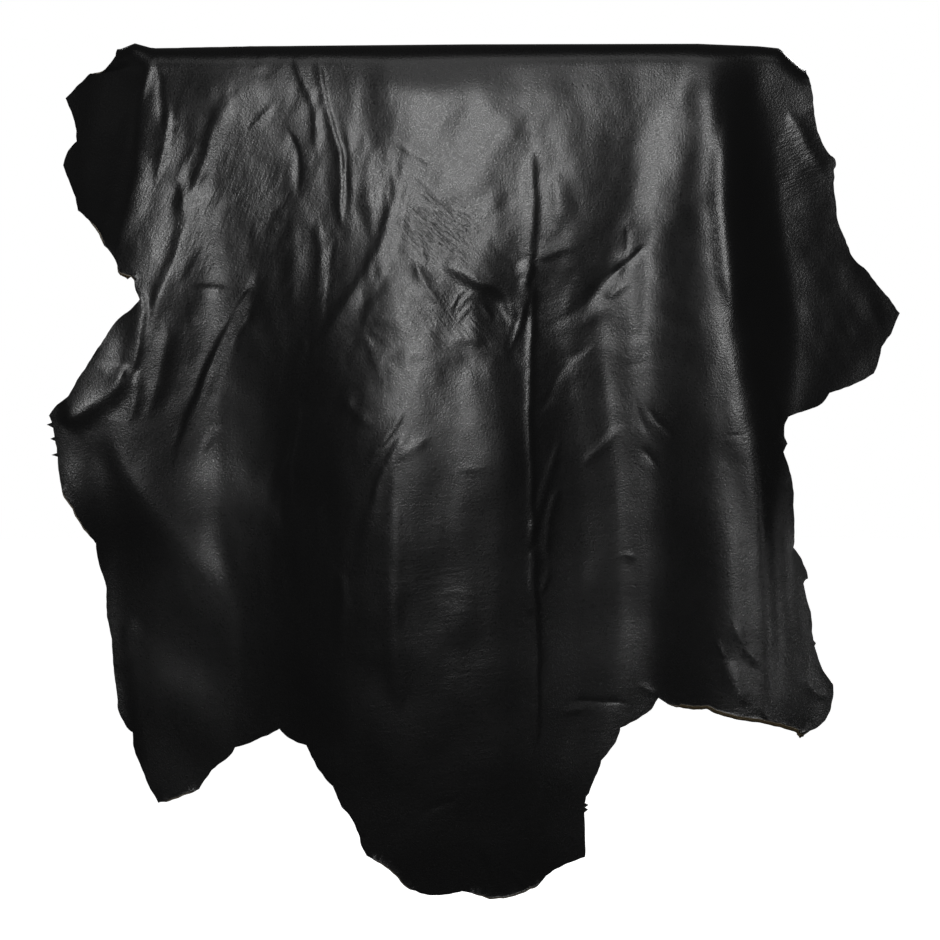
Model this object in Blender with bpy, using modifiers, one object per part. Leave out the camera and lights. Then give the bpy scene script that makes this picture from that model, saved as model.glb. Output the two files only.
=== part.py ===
"""A whole leather hide hung over a straight rail.

The hide is one sheet. Its neck, forelegs and belly flaps hang in front of the rail and its
rump hangs behind it. The rail itself is not part of the object.

Frame: metres, +Z up, +X along the rail. The origin is on the underside of the fold, midway
along the rail. The grain side of the front faces -Y. Sizes below are in millimetres.
"""
import math
from collections import namedtuple

import bmesh
import bpy
import numpy as np
from mathutils import Vector
from mathutils.geometry import delaunay_2d_cdt

MM = 0.001
THICKNESS = 1.4
RAIL_RADIUS = 22.3
BEND_RADIUS = RAIL_RADIUS + THICKNESS / 2
QUARTER_BEND = BEND_RADIUS * math.pi / 2
BEND_SLACK = QUARTER_BEND - BEND_RADIUS  # path over the bend beyond the height it loses

# ---- the cut edge -------------------------------------------------------------------------
# across: from the middle of the rail; drop: below the fold; bow: how far the edge bulges
# outwards on its way to the next corner.
Corner = namedtuple("Corner", "across drop bow")

FRONT_EDGE = {
    "right shoulder": [Corner(338, 24, 1), Corner(344, 63, -4), Corner(368, 124, 4),
                       Corner(368, 158, -3), Corner(378, 197, -3)],
    "right belly flap": [Corner(396, 225, 0), Corner(433, 270, 1), Corner(414, 304, 1),
                         Corner(405, 331, 2), Corner(360, 351, 3), Corner(340, 368, -1)],
    "right flank": [Corner(318, 375, -2), Corner(312, 410, 3), Corner(322, 462, 1),
                    Corner(322, 505, 2), Corner(334, 536, 1), Corner(343, 600, -3)],
    "right foreleg": [Corner(361, 641, 3), Corner(353, 677, 2), Corner(330, 693, -2),
                      Corner(280, 677, 2), Corner(236, 665, 2)],
    "right hollow": [Corner(194, 662, -2), Corner(182, 669, 2), Corner(151, 687, 3),
                     Corner(130, 720, 4), Corner(120, 757, 1)],
    "neck": [Corner(115, 764, 2), Corner(115, 816, -1), Corner(76, 834, 2),
             Corner(60, 846, 3), Corner(20, 857, -1), Corner(-8, 849, 2), Corner(-50, 851, 2),
             Corner(-71, 836, -2), Corner(-103, 813, 1)],
    "left hollow": [Corner(-110, 795, -3), Corner(-128, 765, 1), Corner(-137, 744, 2),
                    Corner(-164, 704, 3), Corner(-191, 687, 2), Corner(-236, 707, 2)],
    "left foreleg": [Corner(-254, 725, -2), Corner(-272, 749, 1), Corner(-313, 762, 1),
                     Corner(-332, 723, 2), Corner(-339, 692, 2)],
    "left flank": [Corner(-352, 672, 1), Corner(-359, 614, 1), Corner(-366, 540, 2),
                   Corner(-374, 502, 2), Corner(-395, 466, 2), Corner(-407, 442, 2)],
    "left belly flap": [Corner(-418, 374, 1), Corner(-399, 355, 2), Corner(-359, 290, 1),
                        Corner(-342, 271, 0)],
    "left notch": [Corner(-330, 258, 1), Corner(-335, 236, 4), Corner(-352, 226, -2)],
    "left shoulder": [Corner(-366, 204, -4), Corner(-395, 167, -1), Corner(-411, 120, 3),
                      Corner(-397, 96, -3), Corner(-409, 52, 1), Corner(-355, 5, 0)],
}
BACK_EDGE = {
    "left side": [Corner(-354, 12, 2), Corner(-350, 120, 3), Corner(-322, 245, -6)],
    "left hind leg": [Corner(-312, 318, 4), Corner(-292, 384, 4), Corner(-246, 396, 4),
                      Corner(-214, 352, -10)],
    "rump": [Corner(-120, 362, 8), Corner(-30, 404, 5), Corner(36, 403, 8),
             Corner(122, 360, -10)],
    "right hind leg": [Corner(212, 350, 4), Corner(238, 392, 5), Corner(286, 378, 4),
                       Corner(300, 312, -6)],
    "right side": [Corner(318, 225, 4), Corner(330, 110, 2)],
}

# ---- the line of the fold -----------------------------------------------------------------
# rise: the fold's height over the rail; past the rail's ends the fold lifts, then droops.
Crown = namedtuple("Crown", "across rise")
CROWN = [Crown(-352, -5), Crown(-337, 1), Crown(-320, -4), Crown(-220, -2), Crown(0, 0),
         Crown(230, 0.5), Crown(290, -2), Crown(311, -4), Crown(336, -25)]

# ---- the main folds -----------------------------------------------------------------------
# A long fold runs down the sheet as one crest or trough: where it is across the sheet, and
# how far it stands out, at each level. Between two of them the sheet swings smoothly over.
FRONT_LEVELS = (40, 160, 280, 400, 540, 700, 860)
BACK_LEVELS = (40, 160, 280, 400)
LongFold = namedtuple("LongFold", "name across out")

FRONT_FOLDS = [
    LongFold("left hem", (-400, -402, -372, -414, -372, -342, -330), (-10, -8, 4, 8, -6, -8, -6)),
    LongFold("left crest", (-322, -330, -334, -362, -350, -330, -320), (2, 2, 6, 14, 4, 0, -2)),
    LongFold("left trough", (-262, -258, -250, -248, -246, -248, -250),
             (1, 0, -5, -18, -18, -12, -10)),
    LongFold("middle crest", (-84, -80, -76, -76, -76, -78, -80), (2, 5, 15, 21, 19, 12, 4)),
    LongFold("middle fall", (-5, -12, -8, -8, -20, -15, -20), (3, 8, 12, 18, 16, 11, 3)),
    LongFold("right trough", (100, 94, 96, 112, 118, 116, 104), (1, 5, 0, -8, -11, -8, -4)),
    LongFold("ridge foot", (208, 180, 170, 166, 166, 168, 160), (4, -1, -6, -11, -13, -8, -4)),
    LongFold("ridge", (240, 248, 257, 266, 271, 269, 269), (10, 18, 20, 20, 16, 9, 10)),
    LongFold("wing foot", (306, 312, 330, 322, 322, 340, 340), (-10, -14, -12, 2, 2, 0, -2)),
    LongFold("right hem", (345, 375, 428, 330, 335, 360, 360), (-16, -24, -28, 0, 0, -2, -4)),
]
BACK_FOLDS = [
    LongFold("left hem", (-350, -345, -320, -290), (0, -3, -4, -2)),
    LongFold("left swell", (-230, -235, -235, -235), (0, 6, 8, 6)),
    LongFold("left hollow", (-130, -125, -120, -115), (0, -4, -6, -5)),
    LongFold("rump crest", (-20, -15, -10, 0), (0, 5, 10, 12)),
    LongFold("right hollow", (110, 115, 120, 120), (0, -4, -7, -6)),
    LongFold("right swell", (220, 230, 235, 235), (0, 5, 8, 6)),
    LongFold("right hem", (330, 325, 300, 285), (0, -3, -4, -3)),
]

# A short fold follows a curve through three (across, drop) points. It is `left` and `right`
# wide on its two sides, stands out by `out` (or sinks in, below zero), is rounded by `crest`
# at its top, and dies away over `fade` at its start and end.
ShortFold = namedtuple("ShortFold", "name start mid end left right out crest fade")
SHORT_FOLDS = [
    ShortFold("shoulder crest", (-290, 142), (-283, 193), (-307, 274), 15, 45, 4, 3, (30, 70)),
    ShortFold("shoulder slant", (-233, 42), (-244, 88), (-267, 160), 15, 46, 3, 4, (25, 40)),
    ShortFold("rail crease", (-178, 14), (-164, 60), (-154, 134), 28, 14, 2, 4, (15, 45)),
    ShortFold("comb crest", (-133, 90), (-129, 148), (-135, 230), 15, 15, 2.5, 4, (25, 50)),
    ShortFold("swag crest", (-65, 108), (-82, 220), (-158, 318), 15, 52, 4.5, 4, (60, 50)),
    ShortFold("long slant", (-210, 210), (-248, 293), (-296, 414), 40, 14, 3, 4, (35, 70)),
    ShortFold("hem crest", (-329, 238), (-331, 303), (-362, 362), 44, 14, 3.5, 4, (14, 50)),
    ShortFold("spine", (61, 242), (57, 380), (61, 640), 14, 17, 2.5, 3, (20, 160)),
    ShortFold("upper swag", (173, 204), (132, 262), (68, 324), 20, 15, 4, 4, (22, 30)),
    ShortFold("lower swag", (134, 284), (94, 316), (63, 390), 15, 26, 3, 4, (28, 40)),
    ShortFold("chest crest", (42, 256), (4, 242), (-42, 212), 18, 14, 3, 4, (22, 22)),
]
CURVE_STEPS = 14

# Past the rail's left end the shoulder turns back, away from the front.
TurnBack = namedtuple("TurnBack", "start mid end slope radius reach fade")
LEFT_SHOULDER_TURN = TurnBack((-322, 0), (-332, 100), (-352, 225), 0.62, 9, 60, (30, 30))

# ---- the mesh -----------------------------------------------------------------------------
# Each zone of the sheet, by its path from the fold, with the spacing of its points. Every other
# row is moved sideways by `shift` of that spacing.
Zone = namedtuple("Zone", "name start end across along shift")
ZONES = [
    Zone("back", -470, -50, 34, 36, 0.5),
    Zone("bend", -48, 48, 26, 8, 0),
    Zone("front", 54, 880, 14.5, 23, 0.5),
]
EDGE_STEP = {"front": 15, "back": 28}
EDGE_MARGIN = 0.45  # share of a zone's spacing kept free along the cut edge


def smooth(share):
    """0 to 1 with level ends."""
    share = np.clip(share, 0, 1)
    return share * share * (3 - 2 * share)


def through_levels(level, levels, values):
    """A smooth curve through one value at each level."""
    levels = np.array(levels, float)
    values = np.array(values, float)
    slopes = np.gradient(values, levels)
    i = np.clip(np.searchsorted(levels, level) - 1, 0, len(levels) - 2)
    span = levels[i + 1] - levels[i]
    t = np.clip((level - levels[i]) / span, 0, 1)
    return ((1 + 2 * t) * (1 - t) ** 2 * values[i] + t * (1 - t) ** 2 * span * slopes[i]
            + t * t * (3 - 2 * t) * values[i + 1] + t * t * (t - 1) * span * slopes[i + 1])


def long_folds(across, drop, folds, levels):
    """How far the sheet stands out, from its long folds."""
    places = [through_levels(drop, levels, fold.across) for fold in folds]
    outs = [through_levels(drop, levels, fold.out) for fold in folds]
    out = np.where(across <= places[0], outs[0], outs[-1])
    for i in range(len(folds) - 1):
        width = np.maximum(places[i + 1] - places[i], 1)
        swing = outs[i] + (outs[i + 1] - outs[i]) * smooth((across - places[i]) / width)
        between = (across > places[i]) & (across <= places[i + 1])
        out = np.where(between, swing, out)
    return out


def three_point_curve(start, mid, end):
    """Points along the curve through three points."""
    t = np.linspace(0, 1, CURVE_STEPS + 1)[:, None]
    start, mid, end = (np.array(point, float) for point in (start, mid, end))
    return start * (2 * t - 1) * (t - 1) + mid * 4 * t * (1 - t) + end * t * (2 * t - 1)


def beside_curve(across, drop, curve):
    """Each point's distance from a curve, below zero on its left, its way along, the length."""
    nearest = np.full(across.shape, np.inf)
    side = np.zeros(across.shape)
    way = np.zeros(across.shape)
    done = 0.0
    for start, step in zip(curve, np.diff(curve, axis=0)):
        length = math.hypot(*step)
        share = ((across - start[0]) * step[0] + (drop - start[1]) * step[1]) / length ** 2
        share = np.clip(share, 0, 1)
        off_across = across - start[0] - share * step[0]
        off_drop = drop - start[1] - share * step[1]
        distance = off_across ** 2 + off_drop ** 2
        closer = distance < nearest
        nearest = np.where(closer, distance, nearest)
        side = np.where(closer, off_across * step[1] - off_drop * step[0], side)
        way = np.where(closer, done + share * length, way)
        done += length
    return np.where(side < 0, -1, 1) * np.sqrt(nearest), way, done


def faded(way, length, fade):
    """Rises from 0 at the start of a fold and falls back to 0 at its end."""
    return smooth(way / fade[0]) * smooth((length - way) / fade[1])


def short_fold(across, drop, fold):
    curve = three_point_curve(fold.start, fold.mid, fold.end)
    beside, way, length = beside_curve(across, drop, curve)
    width = np.where(beside < 0, fold.left, fold.right)
    rounded = np.sqrt(beside ** 2 + fold.crest ** 2) - fold.crest
    share = np.clip(rounded / (np.sqrt(width ** 2 + fold.crest ** 2) - fold.crest), 0, 1)
    return fold.out * (1 - share) ** 2 * (1 + 0.9 * share) * faded(way, length, fold.fade)


def turn_back(across, drop, turn):
    curve = three_point_curve(turn.start, turn.mid, turn.end)
    beside, way, length = beside_curve(across, drop, curve)
    past = (np.sqrt(beside ** 2 + turn.radius ** 2) - beside) / 2
    past = turn.reach * (1 - np.exp(-past / turn.reach))
    return -turn.slope * past * faded(way, length, turn.fade)


def front_relief(across, drop):
    out = long_folds(across, drop, FRONT_FOLDS, FRONT_LEVELS) * smooth((drop + 5) / 50)
    for fold in SHORT_FOLDS:
        out += short_fold(across, drop, fold)
    return out + turn_back(across, drop, LEFT_SHOULDER_TURN)


def back_relief(across, drop):
    return long_folds(across, drop, BACK_FOLDS, BACK_LEVELS) * smooth((drop + 5) / 50)


def crown_rise(across):
    return np.interp(across, [point.across for point in CROWN], [point.rise for point in CROWN])


def path_in_front(across, drop):
    return drop + BEND_SLACK


def path_behind(across, drop):
    return -(drop + BEND_SLACK + 2 * crown_rise(across))


def drape(across, path):
    """Where points of the flat sheet hang: across the rail, and along their path over it."""
    rise = crown_rise(across)
    beyond = path + rise  # path from the top of the fold, above 0 in front
    angle = np.clip(beyond / BEND_RADIUS, -math.pi / 2, math.pi / 2)
    straight = np.maximum(np.abs(beyond) - QUARTER_BEND, 0)
    drop = np.abs(beyond) - BEND_SLACK - rise
    out = np.where(beyond > 0, front_relief(across, drop), back_relief(across, drop))
    height = rise - RAIL_RADIUS + BEND_RADIUS * np.cos(angle) - straight
    return np.stack([across,
                     -BEND_RADIUS * np.sin(angle) - out * np.sin(angle),
                     height + out * np.cos(angle)], axis=-1)


def bowed(start, end, bow, step):
    """Points from start up to, but not at, end, bowed outwards to the edge's right."""
    start, end = np.array(start, float), np.array(end, float)
    length = math.hypot(*(end - start))
    outwards = np.array([end[1] - start[1], start[0] - end[0]]) / length
    count = max(1, round(length / step))
    shares = np.arange(count)[:, None] / count
    return start + (end - start) * shares + outwards * bow * 4 * shares * (1 - shares)


def cut_edge():
    """The whole edge of the flat sheet, from the right end of the fold round the front."""
    corners = [(corner, path_in_front, EDGE_STEP["front"])
               for stretch in FRONT_EDGE.values() for corner in stretch]
    corners += [(corner, path_behind, EDGE_STEP["back"])
                for stretch in BACK_EDGE.values() for corner in stretch]
    places = [(corner.across, float(to_path(corner.across, corner.drop)))
              for corner, to_path, _ in corners]
    stretches = []
    for i, (corner, _, step) in enumerate(corners):
        end = places[(i + 1) % len(places)]
        stretches.append(bowed(places[i], end, corner.bow, step))
    return np.concatenate(stretches)


def inside_edge(points, edge, margin):
    """Which points lie inside the edge, more than the margin away from it."""
    inside = np.zeros(len(points), bool)
    nearest = np.full(len(points), np.inf)
    for start, end in zip(edge, np.roll(edge, -1, axis=0)):
        step = end - start
        crosses = (start[1] > points[:, 1]) != (end[1] > points[:, 1])
        rise = step[1] if step[1] else 1.0
        reached = start[0] + (points[:, 1] - start[1]) * step[0] / rise
        inside ^= crosses & (points[:, 0] < reached)
        share = np.clip((points - start) @ step / (step @ step), 0, 1)
        nearest = np.minimum(nearest, np.hypot(*(points - start - share[:, None] * step).T))
    return inside & (nearest > margin)


def zone_points(zone, edge):
    """Rows of points over one zone, inside the cut edge."""
    reach = np.abs(edge[:, 0]).max() + zone.across
    rows = []
    for number, path in enumerate(np.arange(zone.start, zone.end, zone.along)):
        places = np.arange(-reach, reach, zone.across) + zone.across * zone.shift * (number % 2)
        rows.append(np.column_stack([places, np.full(len(places), path)]))
    points = np.concatenate(rows)
    return points[inside_edge(points, edge, EDGE_MARGIN * min(zone.across, zone.along * 1.5))]


def sheet_mesh(name):
    """The hide's middle surface, draped."""
    edge = cut_edge()
    flat = np.concatenate([edge] + [zone_points(zone, edge) for zone in ZONES])
    loop = [(i, (i + 1) % len(edge)) for i in range(len(edge))]
    placed, _, triangles, *_ = delaunay_2d_cdt([Vector(point) for point in flat], loop, [], 1, 1e-4)
    placed = np.array([tuple(point) for point in placed])
    draped = drape(placed[:, 0], placed[:, 1]) * MM
    sheet = bmesh.new()
    corners = [sheet.verts.new(point) for point in draped]
    for triangle in triangles:
        sheet.faces.new([corners[i] for i in triangle])
    bmesh.ops.recalc_face_normals(sheet, faces=sheet.faces[:])
    front = max(sheet.faces, key=lambda face: -face.calc_center_median().z)
    if front.normal.y > 0:
        bmesh.ops.reverse_faces(sheet, faces=sheet.faces[:])
    mesh = bpy.data.meshes.new(name)
    sheet.to_mesh(mesh)
    sheet.free()
    mesh.shade_smooth()
    return mesh


def leather():
    material = bpy.data.materials.new("black_leather")
    material.use_nodes = True
    surface = material.node_tree.nodes["Principled BSDF"]
    surface.inputs["Base Color"].default_value = (0.012, 0.012, 0.013, 1)
    surface.inputs["Roughness"].default_value = 0.42
    surface.inputs["Metallic"].default_value = 0
    return material


def build():
    for thing in list(bpy.data.objects):
        bpy.data.objects.remove(thing)
    parts = bpy.data.collections.new("leather_hide")
    bpy.context.scene.collection.children.link(parts)
    hide = bpy.data.objects.new("hide", sheet_mesh("hide"))
    hide.data.materials.append(leather())
    parts.objects.link(hide)
    skin = hide.modifiers.new("Thickness", "SOLIDIFY")
    skin.thickness = THICKNESS * MM
    skin.offset = 0


build()
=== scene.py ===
"""The looks of a whole leather hide hung over a straight rail.

The hide is one thin sheet, draped by the same sizes as its solid in the frame, and then creased,
curled and grained. Sizes are in millimetres unless a name says otherwise. A place on the hide is
given by how far it is across, from the middle of the rail, and by its drop below the fold.
"""
import math
from collections import namedtuple

import bmesh
import bpy
import numpy as np
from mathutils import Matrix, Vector, noise
from mathutils.geometry import delaunay_2d_cdt
from mathutils.kdtree import KDTree

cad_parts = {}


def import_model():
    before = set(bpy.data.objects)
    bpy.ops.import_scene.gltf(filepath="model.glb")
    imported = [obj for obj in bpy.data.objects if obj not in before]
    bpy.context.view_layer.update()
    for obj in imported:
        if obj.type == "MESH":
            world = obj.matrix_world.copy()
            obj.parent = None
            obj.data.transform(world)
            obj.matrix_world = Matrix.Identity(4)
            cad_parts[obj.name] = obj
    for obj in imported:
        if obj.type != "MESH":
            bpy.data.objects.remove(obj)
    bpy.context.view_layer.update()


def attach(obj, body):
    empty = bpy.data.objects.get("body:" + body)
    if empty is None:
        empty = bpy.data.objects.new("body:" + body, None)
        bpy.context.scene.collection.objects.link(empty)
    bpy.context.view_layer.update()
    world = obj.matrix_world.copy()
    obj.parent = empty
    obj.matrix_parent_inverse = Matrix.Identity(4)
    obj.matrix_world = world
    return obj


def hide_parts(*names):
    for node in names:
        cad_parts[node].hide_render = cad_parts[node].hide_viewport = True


MM = 0.001
THICKNESS = 1.4
RAIL_RADIUS = 22.3
BEND_RADIUS = RAIL_RADIUS + THICKNESS / 2
QUARTER_BEND = BEND_RADIUS * math.pi / 2
BEND_SLACK = QUARTER_BEND - BEND_RADIUS  # path over the bend beyond the height it loses

# ---- the cut edge ----
# Each corner is (across, drop, bow). bow: how far the edge bulges outwards on its way to the
# next corner.
Corner = namedtuple("Corner", "across drop bow")

FRONT_EDGE = {
    "right shoulder": [(338, 24, 1), (344, 63, -4), (362, 112, 1), (367, 118, 1), (365, 126, -1),
        (368, 158, -3), (378, 197, -3)],
    "right belly flap": [(396, 225, 0), (433, 270, 1), (414, 304, 1), (405, 331, 2), (360, 351, 3),
        (340, 368, -1)],
    "right flank": [(318, 375, -2), (314, 396, 0), (317, 402, 0), (312, 410, 3), (322, 462, 1),
        (322, 505, 2), (337, 536, -1), (332, 541, 1), (342, 597, 0), (345, 600, 0), (343, 603, -3)],
    "right foreleg": [(361, 641, 3), (353, 677, 2), (331, 690, 0), (328, 694, 0), (324, 689, -2),
        (280, 677, 2), (236, 665, 2), (198, 662, 0)],
    "right hollow": [(189, 656, 0), (182, 669, 2), (151, 687, 3), (132, 720, 0.5), (125, 738, -0.5),
        (120, 753, 0)],
    "neck": [(117, 756, 0), (116, 762, 0), (120, 764, 0), (116, 767, 0), (119, 769, 0), (115, 772, 1),
        (115, 816, -1), (76, 834, 2), (60, 846, 3), (20, 857, -1), (-8, 849, 2), (-50, 851, 2),
        (-71, 836, -2), (-103, 813, 1)],
    "left hollow": [(-110, 795, -3), (-128, 765, 1), (-137, 744, 2), (-164, 704, 3), (-191, 687, 2),
        (-236, 707, 2)],
    "left foreleg": [(-254, 725, -2), (-272, 749, 1), (-313, 762, 1), (-332, 723, 2), (-339, 692, 2)],
    "left flank": [(-352, 672, 1), (-359, 614, 1), (-366, 540, 2), (-374, 502, 2), (-395, 466, 2),
        (-407, 442, 1)],
    "left nibs": [(-410, 415, 0), (-416, 413, 0), (-411, 411, 0), (-412, 399, 0), (-417, 397, 0),
        (-413, 395, 0), (-414, 386, 0), (-421, 383, 0), (-415, 381, 0)],
    "left belly flap": [(-418, 374, 1), (-399, 355, 2), (-359, 290, 1), (-342, 271, 0)],
    "left notch": [(-330, 258, 1), (-335, 236, 4), (-352, 226, -2)],
    "left shoulder": [(-366, 204, -4), (-395, 167, -1), (-411, 120, 3), (-397, 96, -3), (-409, 52, 1),
        (-355, 5, 0)],
}
BACK_EDGE = {
    "left side": [(-354, 12, 2), (-350, 120, 3), (-322, 245, -6)],
    "left hind leg": [(-312, 318, 4), (-292, 384, 4), (-246, 396, 4), (-214, 352, -10)],
    "rump": [(-120, 362, 8), (-30, 404, 5), (36, 403, 8), (122, 360, -10)],
    "right hind leg": [(212, 350, 4), (238, 392, 5), (286, 378, 4), (300, 312, -6)],
    "right side": [(318, 225, 4), (330, 110, 2)],
}
EDGE_STEP = {"front": 2.6, "back": 5}

# The knife's wander along the cut edge: how far it strays, over what length.
Wander = namedtuple("Wander", "stray length seed")
EDGE_WANDER = [Wander(0.9, 26, 3), Wander(0.55, 7, 8)]

# The edge rolls forwards here, from start to end clockwise as seen from the front, and shows the
# flesh side: `roll` is the radius, and `turn` how far round the very edge goes, in degrees.
Curl = namedtuple("Curl", "name start end roll turn fade")
CURLS = [
    Curl("right foreleg", (340, 688), (192, 662), 4.2, 165, (12, 14)),
    Curl("left notch", (-332, 240), (-352, 224), 4.0, 150, (8, 8)),
    Curl("left shoulder", (-362, 208), (-388, 176), 2.4, 130, (14, 14)),
    Curl("left foreleg", (-270, 750), (-312, 762), 2.0, 120, (12, 12)),
    Curl("neck corner", (76, 834), (-8, 849), 1.6, 110, (22, 22)),
    Curl("neck left", (-50, 851), (-103, 813), 1.3, 100, (14, 14)),
    Curl("left flank", (-374, 502), (-407, 442), 1.5, 115, (16, 14)),
]

# ---- the line of the fold ----
# rise: the fold's height over the rail; past the rail's ends the fold lifts, then droops.
Crown = namedtuple("Crown", "across rise")
CROWN = [Crown(-352, -5), Crown(-337, 1), Crown(-320, -4), Crown(-220, -2), Crown(0, 0),
         Crown(230, 0.5), Crown(290, -2), Crown(311, -4), Crown(336, -25)]

# ---- the main folds ----
# A long fold runs down the sheet as one crest or trough: where it is across the sheet, and
# how far it stands out, at each level. Between two of them the sheet swings smoothly over.
FRONT_LEVELS = (40, 160, 280, 400, 540, 700, 860)
BACK_LEVELS = (40, 160, 280, 400)
LongFold = namedtuple("LongFold", "name across out")

FRONT_FOLDS = [LongFold(*row) for row in [
    ("left hem", (-400, -402, -372, -414, -372, -342, -330), (-10, -8, 4, 8, -6, -8, -6)),
    ("left crest", (-322, -330, -334, -362, -350, -330, -320), (2, 2, 6, 14, 4, 0, -2)),
    ("left trough", (-262, -258, -250, -248, -246, -248, -250), (1, 0, -5, -18, -18, -12, -10)),
    ("middle crest", (-84, -80, -76, -76, -76, -78, -80), (2, 5, 15, 21, 19, 12, 4)),
    ("middle fall", (-5, -12, -8, -8, -20, -15, -20), (3, 8, 12, 18, 16, 11, 3)),
    ("right trough", (100, 94, 96, 112, 118, 116, 104), (1, 5, 0, -8, -11, -8, -4)),
    ("ridge foot", (208, 180, 170, 166, 166, 168, 160), (4, -1, -6, -11, -13, -8, -4)),
    ("ridge", (240, 248, 257, 266, 271, 269, 269), (10, 18, 20, 20, 16, 9, 10)),
    ("wing foot", (306, 312, 330, 322, 322, 340, 340), (-10, -14, -12, 2, 2, 0, -2)),
    ("right hem", (345, 375, 428, 330, 335, 360, 360), (-16, -24, -28, 0, 0, -2, -4)),
]]
BACK_FOLDS = [LongFold(*row) for row in [
    ("left hem", (-350, -345, -320, -290), (0, -3, -4, -2)),
    ("left swell", (-230, -235, -235, -235), (0, 6, 8, 6)),
    ("left hollow", (-130, -125, -120, -115), (0, -4, -6, -5)),
    ("rump crest", (-20, -15, -10, 0), (0, 5, 10, 12)),
    ("right hollow", (110, 115, 120, 120), (0, -4, -7, -6)),
    ("right swell", (220, 230, 235, 235), (0, 5, 8, 6)),
    ("right hem", (330, 325, 300, 285), (0, -3, -4, -3)),
]]

# The leans that the sheet adds to its solid's folds.
FRONT_LEANS = [LongFold(*row) for row in [
    ("left edge", (-430, -430, -390, -440, -410, -372, -360), (0, 0, 7, 13, 13, 4, 0)),
    ("left hem", (-400, -402, -366, -414, -374, -342, -330), (0, 0, 5, 12, -4, -9, -6)),
    ("left crest", (-322, -330, -334, -362, -350, -330, -320), (-1, 1, 4, -4, -18, -15, -10)),
    ("left bench", (-316, -324, -328, -354, -248, -248, -250), (-1, 1, 3.9, -4, 0.6, -5, -6)),
    ("left trough", (-235, -222, -232, -246, -234, -236, -236), (5, -3, -7, 0, 0.6, -5, -6)),
    ("left rise", (-150, -150, -188, -190, -190, -190, -190), (3, 1, -5, -4, 0, -4, -4)),
    ("left brow", (-112, -112, -120, -120, -120, -120, -120), (6, 2.5, -2, 0, 0, 0, 0)),
    ("middle crest", (-76, -74, -36, -60, -76, -80, -80), (10, 5, 2, 1.5, 0, 0, 0)),
    ("middle fall", (0, 0, 0, 0, -4, 0, 0), (6, 2, -0.5, -1.5, -2, -1, 0)),
    ("spine side", (60, 60, 48, 46, 46, 50, 50), (5, 1.5, -4, 1.5, 2, 2, 0)),
    ("right trough", (120, 120, 126, 140, 150, 140, 120), (3, 1, -7, -4, -5, -7, -6)),
    ("ridge foot", (172, 172, 172, 176, 178, 172, 168), (-1, 0, 1.5, 1, -2, -7, -6)),
    ("ridge", (252, 254, 262, 266, 271, 269, 269), (0, 0, 0, -1, 4, 11, 11)),
    ("ridge brow", (280, 282, 290, 290, 300, 300, 300), (0, 0, 0, 3, 12, 15, 14)),
    ("wing foot", (306, 312, 330, 322, 328, 340, 340), (5, 0, 0, 5, 16, 18, 18)),
    ("right hem", (345, 375, 428, 335, 340, 360, 360), (12, 9, 10, 5, 17, 18, 18)),
]]

# Past the rail's left end the shoulder turns back, away from the front: along the line of the
# points it bends by `radius` into its `slope`, and levels out again over `reach`.
TurnBack = namedtuple("TurnBack", "points slope radius reach fade")
LEFT_SHOULDER_TURN = TurnBack(
    ((-322, 0), (-330, 50), (-336, 100), (-349, 150), (-367, 200), (-376, 225)),
    0.62, 7, 60, (30, 30))

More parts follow.
